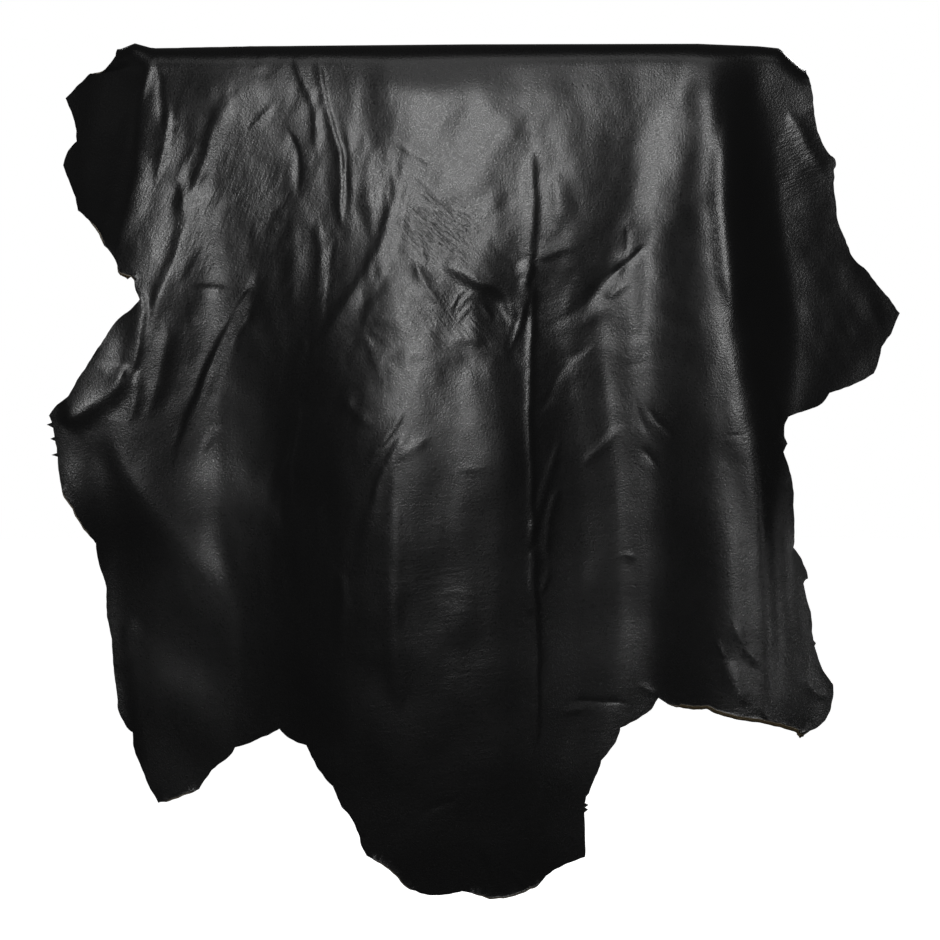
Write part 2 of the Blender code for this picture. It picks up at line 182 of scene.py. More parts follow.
# ---- the creases ----
# A crease runs through its (across, drop) points as a low ridge, or a groove where `out` is
# below zero. It is `left` and `right` wide on its two sides, looking along it as it runs down,
# rounded by `crest` at its top, and dies away over `fade` at its two ends.
Crease = namedtuple("Crease", "name points left right out crest fade")
CREASES = [Crease(*row) for row in [
    # the left shoulder
    ("rail line left", ((-317, 12), (-324, 36), (-328, 64)), 12, 8, 1.2, 1.2, (16, 22)),
    ("shoulder line", ((-298, 64), (-301, 82), (-307, 110), (-314, 144)), 10, 4.5, 1.2, 0.6, (16, 20)),
    ("rail dark", ((-312, 22), (-309, 50), (-309, 88)), 7, 7, -0.8, 1.2, (18, 22)),
    ("slant", ((-236, 50), (-250, 78), (-261, 106), (-270, 134), (-280, 158)), 13, 15, 1.5, 2.6, (26, 34)),
    ("slant branch", ((-270, 100), (-284, 120), (-291, 138), (-286, 156)), 8, 14, 0.7, 1.6, (16, 18)),
    ("slant twin", ((-262, 120), (-271, 138), (-282, 156)), 6, 9, 0.5, 0.9, (12, 14)),
    ("deep crest", ((-289, 136), (-286, 158), (-285, 180), (-290, 200), (-300, 232), (-312, 262),
     (-320, 290)), 13, 46, 2.8, 1.6, (26, 44)),
    ("notch crest", ((-331, 104), (-331, 128), (-339, 158), (-347, 186), (-352, 212)),
     12, 22, 1.7, 3, (26, 18)),
    ("shoulder streak", ((-266, 196), (-280, 216), (-292, 244)), 14, 7, 0.5, 1.2, (16, 16)),
    ("short nick", ((-197, 65), (-208, 76), (-222, 90)), 4, 6, 0.75, 0.5, (7, 10)),
    ("eye", ((-182, 88), (-174, 103), (-171, 122), (-173, 152)), 12, 5, -0.9, 0.7, (12, 16)),
    # the creases that come down from the rail
    ("rail long", ((-177, 12), (-170, 32), (-160, 52), (-154, 72), (-153, 98), (-154, 122)),
     7, 13, 1.1, 0.8, (14, 34)),
    ("rail thin", ((-152, 18), (-145, 54), (-137, 88), (-130, 114), (-129, 150), (-129, 192)),
     11, 5, 1.2, 0.6, (14, 34)),
    ("comb one", ((-124, 84), (-119, 110), (-118, 140), (-119, 180)), 6, 14, 1.0, 1.4, (22, 44)),
    ("comb two", ((-108, 90), (-103, 122), (-100, 155), (-97, 200)), 15, 14, 1.2, 4, (24, 36)),
    ("comb three", ((-178, 176), (-176, 222), (-180, 290)), 14, 15, 0.8, 3, (26, 60)),
    ("comb four", ((-150, 172), (-151, 198), (-149, 228), (-153, 262)), 9, 8, 0.6, 1.8, (22, 26)),
    ("comb line", ((-136, 192), (-141, 240), (-146, 286)), 4, 7, -0.5, 0.8, (20, 24)),
    ("swag dark", ((-84, 112), (-76, 148), (-81, 178), (-94, 212), (-111, 240), (-127, 265), (-143, 291),
     (-160, 316)), 11, 16, 1.3, 1.1, (110, 40)),
    ("swag crest", ((-62, 112), (-69, 151), (-72, 180), (-80, 214), (-97, 245), (-113, 268)),
     20, 7, 0.7, 1.0, (34, 26)),
    # the small slanting wrinkles beside the swag
    ("wrinkle one", ((-80, 98), (-56, 114), (-32, 130)), 3.5, 4, 0.25, 0.6, (14, 16)),
    ("wrinkle two", ((-58, 134), (-38, 150), (-20, 172)), 3.5, 4, 0.25, 0.6, (14, 16)),
    ("wrinkle three", ((-60, 162), (-40, 182), (-16, 212)), 3.5, 5, 0.35, 0.6, (16, 18)),
    ("wrinkle five", ((-54, 150), (-34, 168), (-8, 198)), 3, 3.5, -0.22, 0.5, (14, 16)),
    ("wrinkle six", ((-46, 176), (-30, 192), (-2, 216)), 3, 3.5, -0.22, 0.5, (12, 16)),
    ("wrinkle four", ((-64, 180), (-50, 202), (-45, 226)), 4, 6, 0.4, 0.7, (12, 12)),
    ("shoulder fall", ((60, 66), (30, 96), (8, 130), (-8, 164)), 40, 26, 1.3, 5, (34, 34)),
    # the left flap and flank
    ("hem", ((-331, 244), (-327, 260), (-330, 288), (-334, 318), (-340, 340)), 22, 8, 1.7, 1.2, (14, 24)),
    ("flap fold", ((-342, 320), (-352, 342), (-366, 357), (-385, 369), (-410, 380)),
     28, 20, 4.2, 1.8, (20, 16)),
    ("hem twin", ((-330, 326), (-335, 356), (-343, 388)), 8, 10, 0.9, 1.8, (18, 26)),
    ("tag", ((-306, 276), (-304, 300), (-307, 318), (-312, 340), (-322, 376)), 13, 16, 1.8, 1.2, (26, 34)),
    ("long slant", ((-206, 220), (-221, 240), (-234, 260), (-246, 282), (-256, 302), (-273, 338),
     (-284, 366), (-300, 424)), 34, 8, 1.9, 1.2, (34, 80)),
    ("slant strip", ((-222, 252), (-236, 280), (-247, 306), (-258, 332), (-272, 366)),
     7, 13, 1.0, 1.5, (22, 40)),
    ("slant nick", ((-217, 262), (-231, 287), (-241, 304)), 5, 6, -0.7, 0.8, (12, 14)),
    ("shelf", ((-240, 246), (-260, 245), (-280, 247)), 5, 12, -0.7, 0.8, (14, 14)),
    ("shelf end", ((-283, 250), (-281, 268), (-281, 290)), 7, 6, -0.3, 0.8, (8, 16)),
    ("low slant", ((-250, 383), (-260, 394), (-268, 412)), 7, 8, 0.6, 1.5, (10, 14)),
    ("hip band", ((-334, 572), (-347, 600), (-351, 640)), 14, 18, 1.0, 4, (20, 22)),
    ("thin line", ((-170, 358), (-174, 383), (-179, 410), (-181, 458), (-187, 484)),
     9, 6, 0.8, 0.8, (22, 34)),
    ("hook", ((-167, 296), (-164, 304), (-165, 314)), 4, 5, 0.45, 0.8, (6, 6)),
    # the spine
    ("spine top", ((62, 104), (62, 170), (61, 222)), 14, 7, 1.3, 0.8, (26, 12)),
    ("spine knot", ((60, 212), (59, 230), (57, 246)), 16, 7, 2.2, 1, (16, 16)),
    ("spine", ((63, 240), (62, 262), (61, 318), (59, 378), (61, 428), (62, 478), (62, 500)),
     8, 6, 1.4, 0.7, (12, 14)),
    ("spine middle", ((63, 506), (63, 538), (64, 556), (67, 578)), 7, 7, 1.5, 1, (8, 12)),
    ("spine low", ((66, 566), (66, 610), (66, 660), (67, 690), (64, 722)), 6, 7, 1.1, 0.8, (10, 44)),
    ("spine trace", ((68, 744), (70, 780), (71, 832)), 5, 6, 0.4, 0.8, (20, 24)),
    ("spine branch", ((52, 552), (57, 564), (62, 574)), 4, 4, 0.5, 0.8, (8, 6)),
    ("spine twin", ((79, 524), (76, 540), (70, 556)), 5, 6, 0.6, 0.8, (10, 10)),
    ("spine left", ((49, 262), (44, 286), (36, 312)), 6, 6, -0.5, 0.8, (12, 14)),
    # right of the spine
    ("swag A top", ((176, 202), (166, 212), (154, 223), (140, 234)), 5, 8, -0.8, 0.7, (8, 12)),
    ("swag A", ((160, 217), (138, 235), (124, 252), (112, 266), (87, 279), (66, 288)),
     17, 17, -1.5, 1.2, (26, 74)),
    ("swag crumb", ((134, 256), (146, 250), (160, 240)), 7, 8, 0.7, 1, (8, 12)),
    ("swag B", ((130, 296), (110, 311), (88, 332), (76, 356), (68, 384)), 13, 6, -0.4, 0.9, (22, 34)),
    ("swag C", ((156, 378), (140, 396), (124, 411), (108, 426)), 9, 10, 0.5, 1, (20, 18)),
    ("join one", ((92, 392), (81, 426), (69, 466), (62, 492), (60, 512)), 7, 7, 0.9, 1, (34, 14)),
    ("join two", ((92, 442), (83, 462), (76, 500), (78, 520)), 6, 9, 0.9, 1, (18, 18)),
    ("upper blob", ((86, 128), (89, 158), (88, 190)), 16, 22, 1.4, 3, (22, 22)),
    ("upper bar", ((108, 205), (92, 208), (64, 218)), 16, 9, 0.8, 1.5, (22, 14)),
    ("curved line", ((155, 180), (158, 198), (153, 216)), 5, 5, -0.5, 0.8, (12, 12)),
    ("foot ridge", ((206, 44), (204, 61), (200, 94), (192, 132), (184, 170), (178, 206)),
     26, 24, 1.3, 8, (40, 40)),
    ("ridge crest", ((258, 70), (258, 108), (258, 151), (260, 199), (263, 247), (266, 290)),
     22, 26, 3.8, 8, (50, 60)),
    ("ridge crest low", ((265, 236), (270, 290), (278, 340), (284, 400), (286, 460), (286, 520)),
     34, 28, 4, 15, (150, 110)),
    # the crumple left of the spine
    ("swoosh", ((-32, 222), (-8, 230), (14, 240), (31, 246), (40, 259), (38, 284)),
     13, 34, 2.7, 1.8, (16, 22)),
    ("knot line", ((56, 232), (57, 252), (50, 276), (43, 298), (37, 314)), 12, 6, 1.3, 0.9, (10, 30)),
    ("knot fold", ((14, 198), (34, 212), (52, 228)), 8, 9, -0.35, 1.5, (16, 12)),
    ("crumple crest", ((-56, 216), (-45, 243), (-30, 262)), 11, 9, 1.3, 0.9, (16, 12)),
    ("loop one", ((0, 244), (-8, 250), (-15, 260), (-20, 274)), 4, 4, 0.6, 0.6, (8, 8)),
    ("loop two", ((4, 250), (-3, 256), (-10, 266), (-15, 278)), 4, 4, 0.6, 0.6, (8, 8)),
    ("loop three", ((2, 264), (-6, 272), (-14, 284)), 4, 5, 0.6, 0.6, (8, 8)),
    ("crumple foot", ((-24, 300), (-4, 296), (18, 300)), 14, 16, 1.3, 2, (14, 14)),
    ("crumple spot", ((12, 262), (18, 270), (22, 278)), 5, 5, 0.7, 0.8, (6, 6)),
    ("dome side", ((-97, 252), (-102, 278), (-103, 298), (-98, 314), (-88, 332)),
     9, 14, 0.5, 1.0, (16, 16)),
    ("thigh one", ((-62, 364), (-72, 381), (-89, 406), (-102, 424)), 12, 5, 0.8, 0.8, (18, 18)),
    ("thigh two", ((-62, 390), (-81, 421), (-94, 450), (-99, 470)), 6, 13, 0.9, 0.8, (18, 22)),
    ("lens", ((-38, 394), (-52, 403), (-74, 419)), 8, 9, 0.5, 1, (12, 12)),
    ("soft diagonal", ((-132, 350), (-115, 368), (-98, 386)), 10, 12, 0.9, 2, (16, 16)),
    ("soft bar", ((-14, 428), (0, 426), (14, 427)), 6, 7, 0.22, 1.2, (8, 8)),
    ("column", ((-76, 400), (-75, 500), (-76, 580), (-72, 640), (-66, 672)), 16, 14, 1.2, 4, (90, 30)),
    ("column left", ((-136, 520), (-128, 553), (-129, 590), (-132, 610)), 12, 13, 0.9, 4, (26, 30)),
    ("arc", ((-32, 551), (-12, 549), (6, 554)), 4, 5, 0.2, 0.9, (8, 8)),
    # the right flap
    ("wing crest", ((318, 66), (328, 84), (340, 106), (358, 136)), 12, 14, 1.5, 1.2, (20, 22)),
    ("wing band", ((372, 208), (392, 244), (414, 290)), 20, 16, 1.4, 5, (30, 30)),
    ("nub", ((300, 352), (304, 370), (309, 392)), 8, 8, 1.2, 2, (14, 16)),
    ("wing tear", ((292, 396), (304, 400), (317, 403)), 4, 5, -0.8, 0.6, (8, 4)),
    ("ridge crack", ((254, 392), (266, 394), (277, 392)), 3, 4, -0.25, 0.6, (8, 8)),
    ("vee one", ((166, 356), (172, 378), (179, 396)), 5, 6, -0.4, 0.8, (12, 12)),
    ("vee two", ((177, 364), (188, 380), (207, 399)), 5, 6, -0.4, 0.8, (12, 14)),
    ("vee three", ((169, 406), (179, 414), (190, 427)), 5, 5, -0.5, 0.9, (8, 10)),
    # the foot of the neck and the right foreleg
    ("neck groove", ((92, 661), (112, 660), (134, 661), (158, 663)), 3.5, 5, -0.6, 0.8, (20, 8)),
    ("neck patch", ((92, 672), (104, 668), (116, 670)), 7, 6, 0.7, 1.5, (8, 8)),
    ("leg scratch", ((243, 596), (248, 605), (255, 615)), 3.5, 4, 0.6, 0.6, (6, 6)),
    ("leg fold", ((260, 578), (270, 597), (282, 616), (293, 628)), 9, 8, 0.9, 0.9, (16, 24)),
    ("leg column", ((252, 610), (262, 636), (276, 662)), 12, 14, 1.0, 4, (18, 10)),
    ("leg corner", ((330, 632), (342, 646), (356, 655)), 9, 9, 0.8, 2, (12, 8)),
    ("leg end line", ((288, 661), (291, 668), (295, 676)), 3, 3, 0.5, 0.6, (4, 4)),
    ("hollow line", ((168, 643), (178, 648), (186, 654)), 3, 4, 0.5, 0.6, (6, 4)),
    ("bar", ((154, 512), (160, 515), (167, 515)), 3, 4, 0.4, 0.7, (4, 4)),
    # the neck
    ("neck end one", ((9, 808), (14, 824), (20, 846)), 6, 5, -0.5, 0.8, (12, 6)),
    ("neck end two", ((39, 824), (47, 834), (56, 845)), 5, 5, 0.4, 0.9, (8, 8)),
    ("neck slant", ((-52, 774), (-32, 762), (-8, 758)), 6, 7, -0.3, 1, (12, 14)),
]]

# A soft swelling, or a hollow where `out` is below zero.
Swelling = namedtuple("Swelling", "name across drop width height tilt out")
SWELLINGS = [Swelling(*row) for row in [
    ("middle dome", -75, 268, 36, 42, 0, 1.6),
    ("crumple hollow", 25, 266, 28, 30, 0, -2.2),
    ("shoulder pocket", -268, 70, 44, 60, 10, 1.2),
    ("low pocket", -215, 185, 60, 60, 0, 1.2),
    ("shoulder patch", -221, 298, 22, 24, 20, 0.9),
    ("middle patch", -5, 60, 60, 40, -30, 1.0),
    ("spine hollow", 35, 160, 14, 18, 0, -0.8),
    ("flap bulge", -398, 474, 60, 72, 20, 6.5),
    ("left hollow patch", -145, 720, 26, 24, 0, 0.8),
    ("middle low patch", -10, 582, 26, 34, 0, 0.8),
]]

# Fields of fine wrinkles: the middle and reach of each, the way its wrinkles lean off the
# vertical, how long and wide they are, and how far they stand out.
Field = namedtuple("Field", "name across drop width height tilt long wide out seed")
FIELDS = [Field(*row) for row in [
    ("left shoulder", -240, 130, 120, 190, 22, 46, 12, 0.55, 21),
    ("comb", -115, 150, 70, 150, 3, 60, 11, 0.45, 22),
    ("swag side", -45, 150, 60, 90, -40, 34, 6.5, 0.20, 23),
    ("upper middle", 60, 120, 190, 120, 32, 60, 15, 0.30, 24),
    ("dome", -30, 290, 110, 100, -25, 24, 9.5, 0.45, 25),
    ("dome cross", -30, 300, 100, 90, 50, 20, 9, 0.38, 26),
    ("left flank", -210, 340, 150, 130, 20, 60, 12, 0.40, 27),
    ("right flank", 120, 300, 110, 120, 48, 44, 12, 0.35, 28),
    ("lower front", 0, 620, 400, 260, 4, 110, 18, 0.22, 29),
    ("lower cross", -20, 560, 330, 280, 78, 40, 12, 0.10, 30),
    ("wing", 345, 150, 60, 170, 82, 26, 7, 0.28, 31),
    ("wing cross", 370, 260, 70, 100, -30, 40, 11, 0.40, 32),
    ("left flap", -370, 400, 60, 110, 38, 34, 8, 0.30, 33),
    ("leg corner", 320, 650, 60, 50, -30, 16, 5.5, 0.28, 34),
    ("turned shoulder", -372, 110, 50, 120, 12, 40, 10, 0.40, 35),
    ("ridge", 262, 330, 60, 320, 2, 30, 9, 0.14, 36),
    ("left column", -160, 440, 90, 170, 10, 70, 17, 0.8, 37),
]]

# Hatching in the grain, too fine for the mesh: the middle and reach of each patch, the way its
# lines lean off the vertical, how far apart they are, and how deep.
Hatch = namedtuple("Hatch", "name across drop width height tilt spacing depth")
HATCHES = [
    Hatch("shoulder hatch", -28, 186, 50, 44, -46, 2.4, 0.8),
    Hatch("dome hatch", -14, 276, 60, 60, -38, 3.0, 0.35),
    Hatch("wing hatch", 328, 120, 46, 60, 68, 3.0, 0.4),
    Hatch("left hatch", -250, 160, 130, 120, 24, 3.4, 0.25),
    Hatch("low ripples", 0, 640, 420, 270, 84, 4.4, 0.15),
]
HATCH_LENGTH = 6  # how long a line of hatching is, in spacings

# Uneven drape and mottling: how far it stands out, over what length, and whether only the
# upper half of the front has it in full.
Mottle = namedtuple("Mottle", "out across along seed upper")
MOTTLES = [
    Mottle(0.9, 52, 60, 11, 0.0),
    Mottle(0.34, 19, 26, 12, 0.6),
    Mottle(0.10, 7.5, 11, 13, 0.7),
]
UPPER_MIDDLE = 200
UPPER_REACH = 190
BACK_MOTTLE_SHIFT = 1000  # across, so that the back's mottling isn't the front's

# Relief grows from nothing at a first drop, over a length. Over the bend drops are below zero.
Growth = namedtuple("Growth", "start length")
FRONT_GROWTH = Growth(-8, 66)
BACK_GROWTH = Growth(-5, 50)
MOTTLE_GROWTH = Growth(6, 50)

# The shapes of creases and wrinkles.
CREASE_CURVE_STEP = 9
TURN_CURVE_STEP = 15
CREASE_TIP = 0.35  # the share of its width that a crease keeps at its ends
CREASE_FULLNESS = 0.9
NOISE_GAIN = 1.5
SEED_STEP = 7.3  # sets the noise of one seed apart from the next
WARP_SEED, PATCH_SEED = 0.5, 0.7  # added to a field's seed
WRINKLE_WARP = 0.8  # in widths of a wrinkle
WRINKLE_BED, WRINKLE_DEPTH = 0.6, 1.9
PATCH_MEAN, PATCH_SWING, PATCH_LENGTH = 0.55, 0.45, 1.3
FIELD_FADE = 0.7
WOBBLE = 1.3  # how far a crease strays from its smooth curve
WOBBLE_LENGTH = 30

# ---- the mesh ----
# Each zone of the sheet, by its path from the fold, with the spacing of its points.
Zone = namedtuple("Zone", "name start end across along")
ZONES = [
    Zone("back", -470, -50, 11, 11),
    Zone("bend", -49, 49, 7, 3.6),
    Zone("upper front", 52, 350, 4.6, 4.2),
    Zone("lower front", 354, 880, 5.6, 6.6),
]
CREASE_STEP = 4.6
CREASE_ROWS = (0, 0.16, 0.36, 0.62, 1.0)  # shares of the crease's width
CREASE_REACH = 20  # how far from a crease's crest its rows go, at the most
ROW_ROOM = 1.2  # kept free around each point of the creases' rows
CURL_ROWS = 9  # over the length that rolls up
CURL_ROWS_PAST = 2  # more rows, past it
CURL_ROOM = 0.9
BASE_ROOM = 0.62  # share of a zone's spacing kept free around its points
EDGE_ROOM = 0.8  # share of a point's room kept free along the edge
LEAST_MARGIN = 1.0
REACH_MARGIN = 10  # how far the rows of points go past the edge, before they are cut
WELD = 1e-4  # points closer than this are one point
FRONT_SPOT = -0.2  # metres: the height at which a front face shows which way faces look
CRISP_ANGLE = 60  # degrees


def smooth(share):
    """0 to 1 with level ends."""
    share = np.clip(share, 0, 1)
    return share * share * (3 - 2 * share)


def through_levels(level, levels, values):
    """A smooth curve through one value at each level."""
    levels = np.array(levels, float)
    values = np.array(values, float)
    slopes = np.gradient(values, levels)
    i = np.clip(np.searchsorted(levels, level) - 1, 0, len(levels) - 2)
    span = levels[i + 1] - levels[i]
    t = np.clip((level - levels[i]) / span, 0, 1)
    return ((1 + 2 * t) * (1 - t) ** 2 * values[i] + t * (1 - t) ** 2 * span * slopes[i]
            + t * t * (3 - 2 * t) * values[i + 1] + t * t * (t - 1) * span * slopes[i + 1])


def long_folds(across, drop, folds, levels):
    """How far the sheet stands out, from its long folds."""
    places = [through_levels(drop, levels, fold.across) for fold in folds]
    outs = [through_levels(drop, levels, fold.out) for fold in folds]
    out = np.where(across <= places[0], outs[0], outs[-1])
    for i in range(len(folds) - 1):
        width = np.maximum(places[i + 1] - places[i], 1)
        swing = outs[i] + (outs[i + 1] - outs[i]) * smooth((across - places[i]) / width)
        between = (across > places[i]) & (across <= places[i + 1])
        out = np.where(between, swing, out)
    return out


def smooth_curve(points, step):
    """Points, a step apart, along a smooth curve through the given ones."""
    points = np.array(points, float)
    way = np.concatenate([[0], np.cumsum(np.hypot(*np.diff(points, axis=0).T))])
    places = np.linspace(0, way[-1], max(4, round(way[-1] / step)) + 1)
    return np.stack([through_levels(places, way, points[:, 0]),
                     through_levels(places, way, points[:, 1])], axis=-1)


def beside_curve(across, drop, curve):
    """Each point's distance from a curve, below zero on its left, its way along, the length."""
    nearest = np.full(across.shape, np.inf)
    side = np.zeros(across.shape)
    way = np.zeros(across.shape)
    done = 0.0
    for start, step in zip(curve, np.diff(curve, axis=0)):
        length = math.hypot(*step)
        share = ((across - start[0]) * step[0] + (drop - start[1]) * step[1]) / length ** 2
        share = np.clip(share, 0, 1)
        off_across = across - start[0] - share * step[0]
        off_drop = drop - start[1] - share * step[1]
        distance = off_across ** 2 + off_drop ** 2
        closer = distance < nearest
        nearest = np.where(closer, distance, nearest)
        side = np.where(closer, off_across * step[1] - off_drop * step[0], side)
        way = np.where(closer, done + share * length, way)
        done += length
    return np.where(side < 0, -1, 1) * np.sqrt(nearest), way, done


def grown(drop, growth):
    """0 above the start of the growth, 1 past its length."""
    return smooth((drop - growth.start) / growth.length)


def faded(way, length, fade):
    """Rises from 0 at the start of a fold and falls back to 0 at its end."""
    return smooth(way / fade[0]) * smooth((length - way) / fade[1])


def uneven(across, drop, size_across, size_drop, seed):
    """Smooth noise from about -1 to 1."""
    places = zip(across / size_across, drop / size_drop)
    return np.array([noise.noise((u, v, seed * SEED_STEP)) for u, v in places]) * NOISE_GAIN


def crease_relief(across, drop, crease):
    curve = smooth_curve(crease.points, CREASE_CURVE_STEP)
    reach = max(crease.left, crease.right)
    low, high = curve.min(axis=0) - reach, curve.max(axis=0) + reach
    near = (across > low[0]) & (across < high[0]) & (drop > low[1]) & (drop < high[1])
    out = np.zeros(across.shape)
    if not near.any():
        return out
    beside, way, length = beside_curve(across[near], drop[near], curve)
    strength = faded(way, length, crease.fade)
    taper = CREASE_TIP + (1 - CREASE_TIP) * strength
    width = np.where(beside < 0, crease.left, crease.right) * taper
    crest = crease.crest * taper
    rounded = np.sqrt(beside ** 2 + crest ** 2) - crest
    share = np.clip(rounded / (np.sqrt(width ** 2 + crest ** 2) - crest), 0, 1)
    out[near] = crease.out * (1 - share) ** 2 * (1 + CREASE_FULLNESS * share) * strength
    return out


def swelling_relief(across, drop, swelling):
    turn = math.radians(swelling.tilt)
    sideways = across - swelling.across
    down = drop - swelling.drop
    u = (sideways * math.cos(turn) + down * math.sin(turn)) / swelling.width
    v = (down * math.cos(turn) - sideways * math.sin(turn)) / swelling.height
    return swelling.out * (1 - np.clip(u * u + v * v, 0, 1)) ** 2


def field_relief(across, drop, field):
    u = (across - field.across) / field.width
    v = (drop - field.drop) / field.height
    strength = np.clip(1 - (u * u + v * v), 0, 1)
    near = strength > 0
    out = np.zeros(across.shape)
    if not near.any():
        return out
    lean = math.radians(field.tilt)
    beside = across[near] * math.cos(lean) + drop[near] * math.sin(lean)
    along = drop[near] * math.cos(lean) - across[near] * math.sin(lean)
    warp = uneven(beside, along, field.long, field.long, field.seed + WARP_SEED)
    warp = warp * field.wide * WRINKLE_WARP
    wrinkle = uneven(beside + warp, along, field.wide, field.long, field.seed)
    wrinkle = WRINKLE_BED - WRINKLE_DEPTH * np.abs(wrinkle)
    patch = uneven(beside, along, field.long, field.long * PATCH_LENGTH, field.seed + PATCH_SEED)
    patch = PATCH_MEAN + PATCH_SWING * patch
    out[near] = field.out * strength[near] ** FIELD_FADE * patch * wrinkle
    return out


def turn_back(across, drop, turn):
    beside, way, length = beside_curve(across, drop, smooth_curve(turn.points, TURN_CURVE_STEP))
    past = (np.sqrt(beside ** 2 + turn.radius ** 2) - beside) / 2
    past = turn.reach * (1 - np.exp(-past / turn.reach))
    return -turn.slope * past * faded(way, length, turn.fade)


def mottle_relief(across, drop):
    upper = np.exp(-((drop - UPPER_MIDDLE) / UPPER_REACH) ** 2)
    out = 0
    for mottle in MOTTLES:
        share = 1 - mottle.upper + mottle.upper * upper
        out = out + mottle.out * share * uneven(across, drop, mottle.across, mottle.along,
                                                mottle.seed)
    return out * grown(drop, MOTTLE_GROWTH)


def front_relief(across, drop):
    out = long_folds(across, drop, FRONT_FOLDS, FRONT_LEVELS)
    out += long_folds(across, drop, FRONT_LEANS, FRONT_LEVELS)
    out *= grown(drop, FRONT_GROWTH)
    stray_across = across + WOBBLE * uneven(across, drop, WOBBLE_LENGTH, WOBBLE_LENGTH, 1)
    stray_drop = drop + WOBBLE * uneven(across, drop, WOBBLE_LENGTH, WOBBLE_LENGTH, 2)
    for crease in CREASES:
        out += crease_relief(stray_across, stray_drop, crease)
    for swelling in SWELLINGS:
        out += swelling_relief(across, drop, swelling)
    for field in FIELDS:
        out += field_relief(across, drop, field)
    return out + turn_back(across, drop, LEFT_SHOULDER_TURN) + mottle_relief(across, drop)


def back_relief(across, drop):
    folds = long_folds(across, drop, BACK_FOLDS, BACK_LEVELS) * grown(drop, BACK_GROWTH)
    return folds + mottle_relief(across + BACK_MOTTLE_SHIFT, drop)


def crown_rise(across):
    return np.interp(across, [point.across for point in CROWN], [point.rise for point in CROWN])


def path_in_front(across, drop):
    return drop + BEND_SLACK


def path_behind(across, drop):
    return -(drop + BEND_SLACK + 2 * crown_rise(across))


def drape(across, path, lift):
    """Where points of the flat sheet hang. Lift is how far they curl out of it."""
    rise = crown_rise(across)
    beyond = path + rise  # path from the top of the fold, above 0 in front
    angle = np.clip(beyond / BEND_RADIUS, -math.pi / 2, math.pi / 2)
    straight = np.maximum(np.abs(beyond) - QUARTER_BEND, 0)
    drop = np.abs(beyond) - BEND_SLACK - rise
    in_front = beyond > 0
    out = np.zeros(across.shape)
    out[in_front] = front_relief(across[in_front], drop[in_front])
    out[~in_front] = back_relief(across[~in_front], drop[~in_front])
    out += lift
    height = rise - RAIL_RADIUS + BEND_RADIUS * np.cos(angle) - straight
    return np.stack([across,
                     -BEND_RADIUS * np.sin(angle) - out * np.sin(angle),
                     height + out * np.cos(angle)], axis=-1)


def bowed(start, end, bow, step):
    """Points from start up to, but not at, end, bowed outwards to the edge's right."""
    start, end = np.array(start, float), np.array(end, float)
    length = math.hypot(*(end - start))
    outwards = np.array([end[1] - start[1], start[0] - end[0]]) / length
    count = max(1, round(length / step))
    shares = np.arange(count)[:, None] / count
    return start + (end - start) * shares + outwards * bow * 4 * shares * (1 - shares)


def cut_edge():
    """The whole edge of the flat sheet, from the right end of the fold round the front."""
    corners = []
    for table, to_path, step in ((FRONT_EDGE, path_in_front, EDGE_STEP["front"]),
                                 (BACK_EDGE, path_behind, EDGE_STEP["back"])):
        for stretch in table.values():
            corners += [(Corner(*row), to_path, step) for row in stretch]
    places = [(corner.across, float(to_path(corner.across, corner.drop)))
              for corner, to_path, _ in corners]
    stretches = []
    for i, (corner, _, step) in enumerate(corners):
        end = places[(i + 1) % len(places)]
        stretches.append(bowed(places[i], end, corner.bow, step))
    return np.concatenate(stretches)


def outwards_of(edge):
    """The direction out of the sheet at each point of its edge."""
    along = np.roll(edge, -2, axis=0) - np.roll(edge, 2, axis=0)
    out = np.stack([along[:, 1], -along[:, 0]], axis=-1)
    return out / np.hypot(out[:, 0], out[:, 1])[:, None]


def wandered(edge):
    """The edge with the small strays of a knife."""
    stray = sum(w.stray * uneven(edge[:, 0], edge[:, 1], w.length, w.length, w.seed)
                for w in EDGE_WANDER)
    return edge + outwards_of(edge) * stray[:, None]


def way_round(edge):
    """How far round the edge each of its points is."""
    return np.concatenate([[0], np.cumsum(np.hypot(*np.diff(edge, axis=0).T))])


def curl_turns(edge):
    """The radius of the roll at each point of the edge, and how far it turns there."""
    way = way_round(edge)
    roll = np.ones(len(edge))
    turn = np.zeros(len(edge))
    for curl in CURLS:
        ends = [way[np.argmin(np.hypot(edge[:, 0] - across, edge[:, 1] - drop - BEND_SLACK))]
                for across, drop in (curl.start, curl.end)]
        strength = faded(way - ends[0], ends[1] - ends[0], curl.fade)
        inside = strength > 0
        roll[inside] = curl.roll
        turn[inside] = math.radians(curl.turn) * strength[inside]
    return roll, turn


def rolled_edge(edge, roll, turn):
    """The edge of the flat sheet, let out so that what rolls up still ends where it should."""
    spare = roll * turn - roll * np.sin(np.minimum(turn, math.pi / 2))
    return edge + outwards_of(edge) * spare[:, None]


def edge_tree(edge):
    """A search tree for the edge's nearest point."""
    tree = KDTree(len(edge))
    for i, point in enumerate(edge):
        tree.insert((point[0], point[1], 0), i)
    tree.balance()
    return tree


def curled(points, edge, roll, turn):
    """Points of the flat sheet after its edge has rolled: their new places, and their lift."""
    tree = edge_tree(edge)
    out = outwards_of(edge)
    moved = points.copy()
    lift = np.zeros(len(points))
    for i, point in enumerate(points):
        _, nearest, distance = tree.find((point[0], point[1], 0))
        length = roll[nearest] * turn[nearest]
        rolled = length - distance
        if rolled <= 0:
            continue
        angle = rolled / roll[nearest]
        moved[i] -= out[nearest] * (rolled - roll[nearest] * math.sin(angle))
        lift[i] = roll[nearest] * (1 - math.cos(angle))
    return moved, lift


